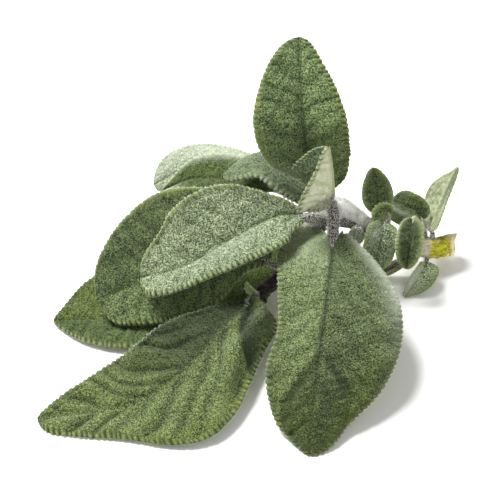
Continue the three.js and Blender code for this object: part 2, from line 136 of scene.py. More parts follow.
def even_points(line, count):
    """Points spread evenly along a line of points, and its length."""
    walk = walked(line)
    at = np.linspace(0, walk[-1], count)
    return np.stack([np.interp(at, walk, line[:, k]) for k in range(3)], 1), walk[-1]


def even_curve(path, count=CURVE_STEPS):
    """Points spread evenly along the smooth curve through a path, and its length."""
    return even_points(along(path, np.linspace(0, 1, SEGMENT_STEPS * (len(path) - 1) + 1)), count)


def sample(values, at):
    """values, given evenly from 0 to 1, read at `at`."""
    grid = np.linspace(0, 1, len(values))
    return np.stack([np.interp(at, grid, values[:, k]) for k in range(values.shape[1])], -1)


class Waves:
    """A smooth random field in space, the sum of a few seeded plane waves."""

    def __init__(self, seed, wavelength, count):
        rng = np.random.default_rng(seed)
        self.k = unit(rng.normal(size=(count, 3))) * 2 * np.pi / wavelength
        self.k *= rng.uniform(0.7, 1.4, (count, 1))
        self.phase = rng.uniform(0, 2 * np.pi, count)

    def __call__(self, points):
        return np.sin(points @ self.k.T + self.phase).sum(-1) / math.sqrt(len(self.phase) / 2)


# ---- mesh building ----
def add_to_scene(name, data):
    obj = bpy.data.objects.new(name, data)
    bpy.context.scene.collection.objects.link(obj)
    return obj


def make_object(name, points, faces, materials, attributes=None, slots=None):
    """A smooth mesh; attributes holds a value per point, slots a material number per face."""
    points = np.clip(points, CAD_LOW + INSIDE, CAD_HIGH - INSIDE)
    mesh = bpy.data.meshes.new(name)
    mesh.from_pydata(points * MM, [], faces)
    for key, values in (attributes or {}).items():
        layer = mesh.attributes.new(key, "FLOAT", "POINT")
        layer.data.foreach_set("value", np.asarray(values, np.float32))
    mesh.polygons.foreach_set("use_smooth", np.ones(len(mesh.polygons), bool))
    for material in materials:
        mesh.materials.append(material)
    if slots is not None:
        mesh.polygons.foreach_set("material_index", np.asarray(slots, np.int32))
    return add_to_scene(name, mesh)


class Parts:
    """Collects pieces of one mesh, with their attributes and material numbers."""

    def __init__(self, keys):
        self.keys = keys
        self.points, self.faces, self.slots = [], [], []
        self.values = {k: [] for k in keys}
        self.count = 0

    def add(self, points, faces, slot, **values):
        self.points.append(points)
        self.faces.extend([tuple(i + self.count for i in f) for f in faces])
        self.slots.extend([slot] * len(faces))
        for key in self.keys:
            self.values[key].append(np.broadcast_to(values.get(key, 0.0), len(points)))
        self.count += len(points)

    def build(self, name, materials):
        values = {k: join(v) for k, v in self.values.items()}
        return make_object(name, join(self.points), self.faces, materials, values, self.slots)


def grid_faces(index, flip=False):
    a, b, c, d = index[:-1, :-1], index[:-1, 1:], index[1:, 1:], index[1:, :-1]
    quads = np.stack([a, d, c, b] if flip else [a, b, c, d], -1).reshape(-1, 4)
    return [tuple(q) for q in quads.tolist()]


def tube_faces(rings, sides, apex):
    """Faces of a round wall, closed after its last ring by a fan to the point `apex`."""
    index = np.arange(rings * sides).reshape(rings, sides)
    index = join([index, index[:, :1]], 1)
    fan = [(apex, a, b) for a, b in zip(index[-1, :-1].tolist(), index[-1, 1:].tolist())]
    return grid_faces(index) + fan


# ---- leaf form ----
# Tint kinds: pale for thick down and for painted highlight and light, yellow for yellowing, lift for painted
# light above 0 and painted shade below 0, and the darkening kind for painted shade.
# Pairs are for the left and the right half. Places run from 0 to 1: lengthwise from the base of the blade to
# its tip, and across from the midrib to the margin. side is 0 for left and 1 for right.
#   dents    (side, place, across, reach, breadth, height)
#   creases  (side, place, slant, breadth, height, painted light and shade on it, painted light and shade
#   before it, painted light and shade beyond it)
#   tints    (kind, side, place, across, reach, breadth, amount)
# A bend may also have its value at the tip, in fold_tip and roll_tip.
LEAF_DEFAULTS = dict(
    stalk=0.1,  # share of the path that is stalk
    lead=(),  # the stalk's own way in, where it leaves the path
    radius=(0.85, 0.75),  # of the stalk, at its foot and at the blade
    fold=(8, 8),  # degrees that a half rises from the midrib
    curl=(0, 0),  # degrees added evenly towards the margin
    roll=(0, 0),  # degrees added close to the margin
    lobe=(0, 0),  # how far the ears of the base reach back
    dents=(), creases=(), tints=(),
    size="large",
    quilt=(0.2, 0.2),  # height of the pillows between the side veins
    round=1,  # under 1 for fuller pillows
    smooth_base=(1, 1),  # share of the pillows' height kept near the base
    painted_pillow_light=0, painted_midrib_light=0,  # painted light on the pillow tops and painted shade between them, and painted light along the midrib; below 0 they paint shade
    veins=3.8, forward=0.7,  # distance between the side veins, and their slant
    groove=0.28,  # depth over the midrib
    wave=0.14,  # height of the slow waves
    pitch=1.3, tooth=0.4,  # distance between the teeth, and their depth
    reach=1.4, beads=(1, 1),  # width and strength of the beaded margin
    rim=0.25,  # share by which the margin is thicker
    under=1,  # share of the underside's own colour
    flush=0, woody=1)  # how woody the base of the underside and the stalk look
LEAF_KEYS = ("vein", "mid", "edge", "notch", "along", "pale", "yellow", "lift", "dim", "under", "stalky")


def leaf_frame(leaf, u):
    """At the places u: places s along the blade, centre line, directions, half widths; and the length."""
    s = (1 - np.cos(np.pi * u)) / 2
    curve, length = even_curve(leaf["path"])
    at = mix(leaf["stalk"], 1, s)
    centre = sample(curve, at)
    ahead = unit(sample(np.gradient(curve, axis=0), at))
    face = np.array(leaf["face"], float)
    up = unit(face - ahead * (ahead @ face)[:, None])
    right = np.cross(ahead, up)
    widths = [np.maximum(along([0, *leaf[side], 0], u), 0) for side in ("left", "right")]
    return s, centre, ahead, up, right, widths, length * (1 - leaf["stalk"])


def half_blade(leaf, u, side, t):
    """Middle surface of one half: points (rows, columns, 3); t runs from midrib to margin."""
    s, centre, ahead, up, right, widths, _ = leaf_frame(leaf, u)
    width = widths[side]
    settled = smooth(u / SETTLED)

    def bend(name):
        start = leaf[name][side]
        end = leaf.get(name + "_tip", leaf[name])[side]
        return settled * np.radians(mix(start, end, s))

    fold, curl, roll = bend("fold"), bend("curl"), bend("roll")
    q = (np.arange(BEND_STEPS) + 0.5) / BEND_STEPS
    angle = fold[:, None] + curl[:, None] * q + roll[:, None] * smooth((q - ROLL_START) / (1 - ROLL_START))
    nothing = np.zeros((len(u), 1))
    out = join([nothing, np.cumsum(np.cos(angle), 1) / BEND_STEPS], 1)
    rise = join([nothing, np.cumsum(np.sin(angle), 1) / BEND_STEPS], 1)
    x = np.clip(t, 0, 1) * BEND_STEPS
    i = np.minimum(x.astype(int), BEND_STEPS - 1)
    f = x - i
    rows = np.arange(len(u))[:, None]
    out = mix(out[rows, i], out[rows, i + 1], f) * width[:, None]
    rise = mix(rise[rows, i], rise[rows, i + 1], f) * width[:, None]
    for which, place, across, reach, breadth, height in leaf["dents"]:
        if which == side:
            rise = rise + height * bell((s[:, None] - place) / reach) * bell((t - across) / breadth)
    for which, place, slant, breadth, height, *_ in leaf["creases"]:
        if which == side:
            rise = rise + height * bell((s[:, None] - place - slant * t) / breadth) * smooth(t / 0.3)
    ear = (u / SETTLED) * np.exp(1 - u / SETTLED)
    back = leaf["lobe"][side] * t**1.5 * ear[:, None]
    sign = 1 if side else -1
    return (centre[:, None] + right[:, None] * (sign * out)[..., None] + up[:, None] * rise[..., None]
            - ahead[:, None] * back[..., None])


def even_rows(leaf, count):
    """Places u that are evenly spaced along the two margins, and the walk along each margin there."""
    u = np.linspace(0, 1, RIM_STEPS)
    walks = [walked(half_blade(leaf, u, side, np.ones((len(u), 1)))[:, 0]) for side in (0, 1)]
    mean = (walks[0] + walks[1]) / 2
    rows = np.interp(np.linspace(0, mean[-1], count + 1), mean, u)
    return rows, [np.interp(rows, u, w) for w in walks]


def half_tints(leaf, side, s, t):
    """The tints that a leaf's own list and its creases give one half, painted light and shade among them."""
    tint = {kind: 0 * t for kind in ("pale", "yellow", "lift", "dim")}
    for kind, which, place, across, reach, breadth, amount in leaf["tints"]:
        if which == side:
            tint[kind] += amount * bell((s - place) / reach) * bell((t - across) / breadth)
    # painted light and shade on a crease and to each side of it
    for which, place, slant, breadth, _, on, before, beyond in leaf["creases"]:
        if which == side:
            off = s - place - slant * t
            sides = before * smooth(-off / CREASE_TURN) + beyond * smooth(off / CREASE_TURN)
            shade = on * bell(off / breadth) + sides * bell(off / CREASE_SIDES)
            tint["lift"] += shade * smooth(t / 0.2)
    return tint


def half_facts(leaf, u, side, walk, rng, seed):
    """One half of a blade: its points and, at each of them, its teeth, veins, relief and tints."""
    s, _, _, _, _, widths, length = leaf_frame(leaf, u)
    s = s[:, None]
    width = np.maximum(widths[side], 1e-3)[:, None]
    even_t = (1 - (1 - np.linspace(0, 1, COLUMNS[leaf["size"]] + 1)) ** 1.5)[None, :]

    # the teeth, slightly uneven in spacing and depth, draw the outer columns in
    teeth = max(1, round(walk[-1] / leaf["pitch"]))
    phase = walk / walk[-1] * teeth
    phase = phase + 0.16 * np.sin(phase * 0.9 + rng.uniform(0, 6)) + 0.1 * np.sin(phase * 2.3)
    lobe = np.abs(np.sin(np.pi * phase)) ** TOOTH_ROUND
    depth = leaf["tooth"] * (1 + 0.25 * np.sin(phase * 1.7 + seed))
    inward = (np.minimum(depth / width[:, 0], 0.3) * (1 - lobe))[:, None]
    t = even_t * (1 - inward * smooth((even_t - 0.6) / 0.4))
    x = t * width
    distance = (1 - even_t) * width
    band = bell((distance / leaf["reach"]) ** 2) * leaf["beads"][side]
    notch = np.clip(1.7 * (1 - lobe[:, None]), 0, 1) * band
    tooth = lobe[:, None] ** 1.5 * band

    # the side veins run forward, slightly bent, and each has its own strength
    spacing = leaf["veins"]
    run = (s * length - leaf["forward"] * x * (1 - 0.3 * t)) / spacing + 0.5 * side
    run = run + 0.2 * np.sin(run * 1.9 + seed + side) + 0.1 * np.sin(x * 0.8 + run * 3.1)
    frac = run - np.floor(run)
    strength = rng.uniform(0.35, 1.15, VEIN_STRENGTHS)
    before, after = (np.floor(run + step).astype(int) % VEIN_STRENGTHS for step in (0, 0.5))
    height = mix(strength[before], strength[after], 0.5)
    near = smooth(x / 1.4) * smooth(distance / 1.6)
    vein = bell(np.minimum(frac, 1 - frac) * spacing / mix(*VEIN_WIDTH, t)) * near * height
    mid = bell(x / mix(*MIDRIB_WIDTH, s))
    pillow = np.sin(np.pi * frac) ** leaf["round"] * near * height
    calm = mix(leaf["smooth_base"][side], 1, smooth((s - 0.15) / 0.3))
    relief = leaf["quilt"][side] * (pillow - 0.5 * vein) * calm

    tint = half_tints(leaf, side, s, t)
    # painted light and shade following the pillows and the midrib
    tint["lift"] += leaf["painted_pillow_light"] * calm * (2 * np.sin(np.pi * frac) ** 1.5 - 1) * near
    tint["lift"] += leaf["painted_midrib_light"] * mid * (1 - s)
    return dict(points=half_blade(leaf, u, side, t), x=x, vein=vein, mid=mid, relief=relief, notch=notch,
                tooth=tooth, rim=distance, along=s + 0 * t, **tint)


def leaf_surface(leaf, seed):
    """Upper and lower face of a blade as one grid of columns from left margin to right margin."""
    rows = ROWS[leaf["size"]]
    u, walks = even_rows(leaf, rows)
    up = leaf_frame(leaf, u)[3]
    rng = np.random.default_rng(seed)
    halves = [half_facts(leaf, u, side, walks[side], rng, seed) for side in (0, 1)]
    all_of = {key: join([halves[0][key][:, ::-1], halves[1][key][:, 1:]], 1) for key in halves[0]}
    points, distance = all_of["points"], all_of["rim"]
    normal = unit(np.cross(np.gradient(points, axis=1), np.gradient(points, axis=0)))
    normal *= np.sign((normal * up[:, None]).sum(-1).mean()) or 1
    pebbles = Waves(seed + 1, PEBBLE_SIZE, 14)(points)
    slow = Waves(seed + 2, WAVE_SIZE, 6)(points)
    fade = smooth(all_of["x"] / 1.5) * smooth(distance / 1.5)
    lift = (all_of["relief"] - leaf["groove"] * all_of["mid"] + PEBBLE_HEIGHT * pebbles * fade
            + leaf["wave"] * slow * fade + TOOTH_RISE * all_of["tooth"] - NOTCH_DROP * all_of["notch"])
    middle = points + normal * lift[..., None]
    edge = bell(distance / MARGIN)
    swell = 1 + leaf["rim"] * edge
    edge_width = EDGE_ROUND * swell
    round_off = np.sqrt(np.clip(1 - (1 - np.clip(distance / edge_width, 0, 1)) ** 2, 0, 1))
    skin = SKIN * round_off * swell
    count = np.arange(rows + 1)
    ends = np.minimum(smooth(count / 3), smooth((rows - count) / 3))[:, None]
    rib = RIB_DEPTH * all_of["mid"] * (1 - 0.7 * all_of["along"]) * ends
    upper = middle + normal * (skin * ends)[..., None]
    lower = middle - normal * ((skin + rib) * ends)[..., None]
    facts = dict(all_of, edge=edge)
    return upper, lower, normal, {key: facts[key] for key in LEAF_KEYS if key in facts}


def add_blade(parts, leaf, seed, slot=0):
    """Adds a blade as one closed skin; gives back its upper face and directions for the margin hairs."""
    upper, lower, normal, facts = leaf_surface(leaf, seed)
    rows, columns = upper.shape[:2]
    inner = rows - 2
    up_index = np.arange(inner * columns).reshape(inner, columns)
    low_index = up_index + inner * columns
    low_index[:, 0] = up_index[:, 0]
    low_index[:, -1] = up_index[:, -1]
    points = join([upper[1:-1].reshape(-1, 3), lower[1:-1].reshape(-1, 3),
                   upper[:1, columns // 2], upper[-1:, columns // 2]])
    base, tip = len(points) - 2, len(points) - 1
    faces = grid_faces(up_index) + grid_faces(low_index, True)
    for index, flip in ((up_index, False), (low_index, True)):
        for row, apex, turn in ((index[0], base, flip), (index[-1], tip, not flip)):
            for a, b in zip(row[:-1].tolist(), row[1:].tolist()):
                faces.append((apex, b, a) if turn else (apex, a, b))
    values = {}
    for key, value in facts.items():
        inside = value[1:-1].reshape(-1)
        values[key] = join([inside, inside, [value[0, columns // 2], value[-1, columns // 2]]])
    under = join([np.zeros(inner * columns), np.ones(inner * columns), [0, 0]])
    values["stalky"] = leaf["flush"] * bell(values["along"] / 0.1) * under
    values["under"] = leaf["under"] * under
    # the lower face uses the upper one's margin points, so its own are left out
    used = np.zeros(len(points), bool)
    used[[i for f in faces for i in f]] = True
    renumber = np.cumsum(used) - 1
    faces = [tuple(renumber[list(f)].tolist()) for f in faces]
    parts.add(points[used], faces, slot, **{k: v[used] for k, v in values.items()})
    return upper, normal


def add_tube(parts, centres, radii, sides, slot=0, bumps=None, cap_slot=None, slant=(0, 0), square=0.0,
             **values):
    """A tube with closed ends round `centres`; the first end may be slanted, of a material of its own."""
    ahead = unit(np.gradient(centres, axis=0))
    side = np.array([0, 0, 1.0]) - ahead[0] * ahead[0][2]
    if np.linalg.norm(side) < 0.1:
        side = np.array([1.0, 0, 0]) - ahead[0] * ahead[0][0]
    turn = np.arange(sides) * 2 * np.pi / sides
    rings = []
    for k, centre in enumerate(centres):
        side = unit(side - ahead[k] * (side @ ahead[k]))
        other = np.cross(ahead[k], side)
        r = radii[k] * (1 + square * np.cos(4 * turn))
        ring = centre + np.outer(r * np.cos(turn), side) + np.outer(r * np.sin(turn), other)
        if k == 0:
            ring = ring + np.outer(r * (slant[0] * np.cos(turn) + slant[1] * np.sin(turn)), ahead[0])
        rings.append(ring)
    rings = np.array(rings)
    if bumps is not None:
        out = unit(rings - centres[:, None])
        rings = rings + out * bumps(rings)[..., None]
    count = len(centres)
    full = {}
    for key, value in values.items():
        value = np.asarray(value, float)
        full[key] = join([np.repeat(value, sides), value[-1:]]) if value.ndim else value
    points = join([rings.reshape(-1, 3), centres[-1:]])
    parts.add(points, tube_faces(count, sides, count * sides), slot, **full)
    # the first end is a flat face with its own points, so its rim stays crisp
    middle = rings[0].mean(0)
    disc = join([*(mix(middle, rings[0], f) for f in END_RINGS), [middle]])
    parts.add(disc, tube_faces(len(END_RINGS), sides, len(END_RINGS) * sides),
              slot if cap_slot is None else cap_slot,
              **{k: (v if np.ndim(v) == 0 else v[0]) for k, v in values.items()})
    return rings


def stalk_line(leaf):
    """The leaf's centre line with its own way in, and the share of it before the blade."""
    curve, _ = even_curve(leaf["path"])
    if not leaf["lead"]:
        return curve, leaf["stalk"]
    start = int(leaf["stalk"] * (len(curve) - 1))
    head, reach = even_curve([*leaf["lead"], curve[start]], SEGMENT_STEPS)
    line, length = even_points(join([head[:-1], curve[start:]]), CURVE_STEPS)
    return line, reach / length


def add_stalk(parts, leaf, slot=0):
    """The leaf's stalk, which runs on as the midrib under the blade."""
    curve, share = stalk_line(leaf)
    at = np.linspace(0, 0.97, STALK_RINGS[leaf["size"]])
    centres = sample(curve, at)
    ahead = unit(sample(np.gradient(curve, axis=0), at))
    face = np.array(leaf["face"], float)
    up = unit(face - ahead * (ahead @ face)[:, None])
    on_blade = smooth((at - share * 0.85) / max(0.08, share * 0.4))
    s = np.clip((at - share) / (1 - share), 0, 1)
    radii = mix(leaf["radius"][0], leaf["radius"][1], np.clip(at / share, 0, 1))
    radii = radii * mix(1, 0.25, np.sqrt(s)) * mix(1, 0.8, on_blade)
    radii = radii * smooth((1.0 - at) / 0.12 + 0.15)
    sink = radii + 0.1 + max(0, leaf["groove"] - LEAF_DEFAULTS["groove"])
    centres = centres - up * (on_blade * sink)[:, None]
    return add_tube(parts, centres, radii, 12, slot, under=1.0, mid=1.0, along=s,
                    stalky=(1 - smooth(s / 0.2)) * leaf["woody"])


# ---- what the sprig is made of ----
# Paths are those of the CAD source; a few widths differ from it by up to 2 mm, as the photograph asked.
# left and right are the half widths at seven stations between the base and the tip of a blade.
YOUNG = dict(radius=(0.6, 0.5), size="small", quilt=(0.12, 0.12), veins=2.2, pitch=1, tooth=0.18, reach=0.75,
             beads=(0.3, 0.3), wave=0.1, rim=0.4)
# Many tints below paint light and shade: lift lightens the lit places and darkens the shaded ones, the
# darkening tint paints shade, and some pale tints paint highlights.
LEAVES = {
    "top_leaf": dict(
        path=[[19.5, 12, 18], [17, 16.5, 21], [13.5, 19, 27.5], [12, 22, 38.5], [11, 37, 51]], stalk=0.11,
        face=(0.1, -0.8, 0.55), left=[1.5, 3.4, 9.8, 12.4, 10.6, 7.6, 4],
        right=[6.6, 9.7, 10.4, 10.3, 8.2, 5.2, 2.8], curl=(5, 5), quilt=(0.3, 0.35), painted_pillow_light=0.2, veins=5,
        wave=0.2, beads=(0.35, 0.8),
        tints=[("lift", 0, 0.3, 0, 0.4, 0.16, -1), ("lift", 1, 0.3, 0, 0.4, 0.16, -1),
               ("lift", 0, 0.3, 1, 0.3, 0.3, 0.5), ("yellow", 1, 0.55, 1, 0.4, 0.14, 0.8),
               ("pale", 0, 0.1, 0.9, 0.15, 0.3, 0.35), ("lift", 0, 0.5, 0.5, 0.5, 0.6, -0.25)], tone="mid"),
    "cupped_young_leaf": dict(
        path=[[18, 11.25, 18], [18.5, 10, 27], [18.25, 10.5, 33.5], [17.5, 12.25, 38.75]], stalk=0.32,
        face=(-1, -0.08, -0.2), left=[6, 9, 10.7, 9.8, 8.3, 6.2, 3.2], right=[9, 10, 9, 6.7, 4.3, 2.6, 1.4],
        fold=(54, 58), quilt=(0.05, 0.05), veins=3, wave=0.04, reach=1, beads=(0.8, 0.8), flush=0.4,
        tints=[("lift", 0, 0.5, 0.5, 1, 1, 0.3)], tone="grey", slot="pale_leaf"),
    "arched_leaf": dict(
        path=[[17, 11, 17.5], [12, 15.5, 21], [3, 21, 25.5], [-6.5, 20.5, 21.5]], stalk=0.14,
        face=(0, 0.35, 0.9), left=oval(7), right=[3, 6, 8, 9, 9.5, 9.5, 6.5], fold=(0, 0), curl=(-10, -10),
        roll=(-60, -20), quilt=(0.05, 0.06), veins=4.5, wave=0.05, reach=1.1, beads=(0.7, 0.7), rim=1.1,
        tints=[("pale", 0, 0.5, 1, 0.6, 0.14, 0.45), ("pale", 1, 0.5, 1, 0.6, 0.3, 0.2),
               ("dim", 0, 0.5, 0.3, 1, 0.5, 0.5), ("dim", 1, 0.5, 0.3, 1, 0.8, 0.4)], tone="grey"),
    "front_left_leaf": dict(
        path=[[16.5, 10, 17], [13, 8, 20], [6, 7.5, 21], [-3.5, 2, 20], [-15.5, -3, 15], [-26, -3, 11]],
        stalk=0.12, radius=(1.3, 1.1), face=(0, -0.38, 0.92), left=[4, 8, 9, 8, 6.4, 6.8, 5.8],
        right=[2, 5.2, 11.4, 13.8, 12.6, 9, 4.8], fold=(22, 22), curl=(-10, 0), quilt=(0.35, 0.12), veins=3.2,
        beads=(1, 0.6), rim=0.7,
        tints=[("lift", 0, 0.5, 0.5, 0.6, 0.6, -0.1), ("lift", 1, 0.5, 0.5, 0.6, 0.6, 0.1),
               ("pale", 0, 0.5, 0.3, 0.3, 0.35, 0.2), ("lift", 0, 0.5, 0.5, 1, 1, -0.2)], tone="light"),
    "left_leaf": dict(
        path=[[8, 0, 10.5], [-0.5, 0.5, 14], [-16.5, -1, 12], [-36.5, -4.5, 5]], face=(-0.1, -0.54, 0.84),
        left=[2, 4, 9.6, 12.3, 11, 9, 6.2], right=[8, 15, 18, 19.3, 16.5, 12, 6.8], fold=(5, 5),
        fold_tip=(0, 2), dents=[(0, 0.3, 1, 0.15, 0.35, -1)], quilt=(0.25, 0.3), painted_pillow_light=0.2, veins=5, wave=0.2,
        beads=(1, 0.5), rim=0.5,
        tints=[("lift", 0, 0.8, 0.5, 0.25, 0.5, 0.3), ("lift", 1, 0.8, 0.6, 0.4, 0.6, -0.6)], tone="deep"),
    "far_left_leaf": dict(
        path=[[9, 1.5, 11], [2.5, 2.5, 4.5], [-12.5, -1.5, 2], [-29, -6, 0.8], [-47, -7, 0.4]], stalk=0.06,
        face=(0, 0, 1), left=[6, 9, 10, 11, 11, 8.2, 3.6], right=[10, 12, 13, 14.5, 15.5, 12.6, 4.2],
        fold=(5, 5), lobe=(0, 2), quilt=(0.3, 0.4), veins=4.2,
        tints=[("yellow", 1, 0.6, 0.5, 0.7, 0.7, 0.6), ("lift", 0, 0.6, 0.5, 1, 1, -0.3)], tone="far"),
    "lower_left_leaf": dict(
        path=[[1, -5, 7.5], [-3, -11.5, 8], [-8.5, -19, 7.5], [-16.5, -29, 5.5], [-28.5, -35.5, 2],
              [-49, -38, 0.5]], stalk=0.06, face=(0.1, -0.1, 1), left=[8.4, 10.6, 13.4, 17, 8.8, 6.2, 4.2],
        right=[3.3, 7, 12, 12.8, 12.3, 7.8, 3], fold=(0, 5), lobe=(2.5, 0),
        dents=[(0, 0.12, 0.55, 0.2, 0.14, 3.2), (0, 0.2, 1, 0.2, 0.3, -2)],
        creases=[(0, 0.085, 0.24, 0.025, 0.5, 0.6, -1.8, 0)], quilt=(0.75, 0.75), round=1.1,
        smooth_base=(1, 0.2), painted_pillow_light=0.45, painted_midrib_light=0.4, veins=8, forward=2.1, groove=-0.1, wave=0.25, rim=0.5,
        tints=[("yellow", 0, 0.65, 1, 0.5, 0.3, 0.8), ("yellow", 1, 0.8, 0.5, 0.35, 0.7, 0.35),
               ("dim", 1, 0.16, 0.9, 0.38, 1.5, 1.25), ("dim", 0, 0, 0.7, 0.12, 0.8, 0.5),
               ("dim", 0, 0.2, 0, 0.15, 0.3, 0.5)], tone="green"),
    "lower_right_leaf": dict(
        path=[[19.5, 12, 18], [19, 4, 16.5], [17.5, -11.5, 17], [15.5, -26.5, 13], [13.5, -40, 5],
              [13, -48.5, 0.25]], stalk=0.13, lead=[[18.5, 11, 21.9], [19.1, 7.4, 21]], radius=(1.5, 1.3),
        face=(0, -0.3, 0.95), left=[4.5, 11.5, 17.5, 19, 16, 9.2, 4.8],
        right=[9.6, 12.6, 11.8, 10.5, 12, 9, 3.4], fold=(-5, 0), fold_tip=(-5, -14), curl=(0, -8),
        roll=(-40, 0), lobe=(5, 6),
        dents=[(1, 0.5, 0.15, 0.05, 0.25, 0.7), (1, 0.57, 0.4, 0.05, 0.25, 0.9),
               (1, 0.64, 0.7, 0.06, 0.25, 0.9)],
        creases=[(1, 0.55, 0.35, 0.025, 0.4, 0.4, 0.5, -0.7), (0, 0.56, 0.35, 0.03, -0.3, -0.7, 0.1, 0)],
        quilt=(0.35, 0.3), painted_pillow_light=0.2, painted_midrib_light=-1, veins=6.5, forward=1.4, groove=0.32, wave=0.25,
        beads=(0.8, 0.9), rim=0.5,
        tints=[("pale", 0, 0.08, 1, 0.3, 0.2, 1), ("lift", 1, 0.05, 0.6, 0.16, 0.8, 1.3),
               ("pale", 1, 0.06, 0.6, 0.12, 0.7, 0.2), ("dim", 1, 1, 0.5, 0.25, 1, 0.3),
               ("dim", 0, 1, 0.5, 0.25, 1, 0.25), ("lift", 0, 0.4, 0.5, 0.6, 1, -0.6),
               ("yellow", 0, 0.8, 0.9, 0.3, 0.35, 0.8), ("yellow", 1, 1, 0.6, 0.3, 1, 0.9),
               ("yellow", 0, 1, 0.4, 0.25, 1, 0.6), ("lift", 0, 1, 0.5, 0.3, 1, -1.3),
               ("lift", 1, 1, 0.5, 0.3, 1, -1.5)], tone="broad"),
    "back_left_leaf": dict(
        path=[[21.5, 12.5, 15], [9, 27, 11.5], [-3, 36, 10], [-15, 41, 5], [-24.5, 40, 0.2]], stalk=0.3,
        face=(0, 0, 1), left=[2, 3.6, 6.6, 8, 7.4, 5.6, 3], right=[3, 4.6, 4.6, 5.8, 7.3, 6.4, 3.4],
        fold=(0, 0), fold_tip=(0, 20), reach=0.9, beads=(0.4, 0.4),
        tints=[("pale", 1, 0.6, 0.8, 0.6, 0.5, 0.5), ("lift", 0, 0.5, 0.5, 1, 1, -0.6),
               ("lift", 1, 0.5, 0, 1, 0.6, -0.8)], tone="pale", slot="pale_leaf"),
    "back_leaf": dict(
        path=[[19, 12, 16], [6.5, 22.5, 15], [-5.5, 28, 13.5], [-15, 31, 10.5], [-22.5, 31.5, 6]], stalk=0.36,
        face=(0, -0.2, 1), left=[2.6, 5.8, 8.4, 9, 8.3, 6.3, 3.4], right=[2.4, 5, 6.5, 7, 6, 2.5, 0.9],
        fold=(15, 15), roll=(0, -60), roll_tip=(0, 0), quilt=(0.12, 0.12), reach=1, beads=(0.5, 0.5), rim=0.9,
        tints=[("pale", 1, 0.6, 1, 0.6, 0.22, 0.9), ("pale", 0, 0.95, 0.6, 0.12, 0.8, 0.8),
               ("dim", 0, 0.5, 0.5, 0.4, 0.7, 0.4), ("dim", 1, 0.4, 0, 0.4, 0.4, 0.3)], tone="far",
        slot="pale_leaf"),
    "upright_narrow_leaf": dict(
        path=[[43.5, 12.25, 6], [43.25, 12.75, 9.5], [43.6, 14.25, 11.5], [45.3, 17, 16], [47.1, 18.75, 20.5],
              [49, 19.5, 25.5]], stalk=0.2, radius=(0.7, 0.6), face=(0.6, 0.5, 0.2),
        left=[1.2, 1.6, 1.6, 1.4, 1.2, 0.9, 0.5], right=[5.5, 7, 7.1, 6, 3.6, 1.5, 0.7], fold=(10, 10),
        size="small", quilt=(0.15, 0.15), veins=2.6, pitch=1.1, tooth=0.2, reach=0.75, beads=(0.25, 0.25),
        under=0.5,
        tints=[("pale", 0, 0.5, 0.5, 1, 1, 0.3), ("dim", 1, 0.5, 0.5, 1, 1, 0.2)], tone="mid",
        slot="pale_leaf"),
    "low_small_leaf": dict(
        YOUNG, path=[[42.75, 12.25, 6], [41.75, 8.5, 4.5], [39.75, 4.75, 2.5], [36.5, 1, 0.15]], stalk=0.28,
        face=(0, -0.3, 0.9), left=[3, 3.9, 4, 3.7, 2.8, 1.4, 0.6], right=[1.2, 1.6, 1.9, 2, 1.8, 1.3, 0.9],
        fold=(5, 5),
        tints=[("pale", 1, 0.6, 0.5, 0.6, 0.8, 0.85), ("pale", 0, 0.9, 0.3, 0.2, 0.4, 0.5),
               ("lift", 0, 0.5, 0.5, 1, 1, 0.6), ("lift", 1, 0.5, 0.5, 1, 1, 0.4)], tone="light"),
    "curled_young_leaf": dict(
        YOUNG, path=[[25.5, 10.75, 14.5], [25.5, 7.25, 16.25], [24.5, 7.5, 17], [24, 7.5, 14.75],
                     [24.25, 7.75, 10.5]], stalk=0.45, face=(0.3, -0.6, 0.5), left=oval(3), right=oval(2.3),
        fold=(15, 15),
        tints=[("pale", 0, 0.5, 0.5, 1, 1, 0.4), ("pale", 1, 0.5, 0.5, 1, 1, 0.4)], tone="light"),
    "hidden_small_leaf": dict(
        YOUNG, path=[[37.5, 10.75, 8], [38, 10, 4.5], [34.25, 8.75, 2.5], [29.25, 7.5, 0.2]], stalk=0.3,
        face=(0, -0.2, 0.9), left=oval(1.8), right=oval(1.8), fold=(20, 20), tone="rosy"),
}
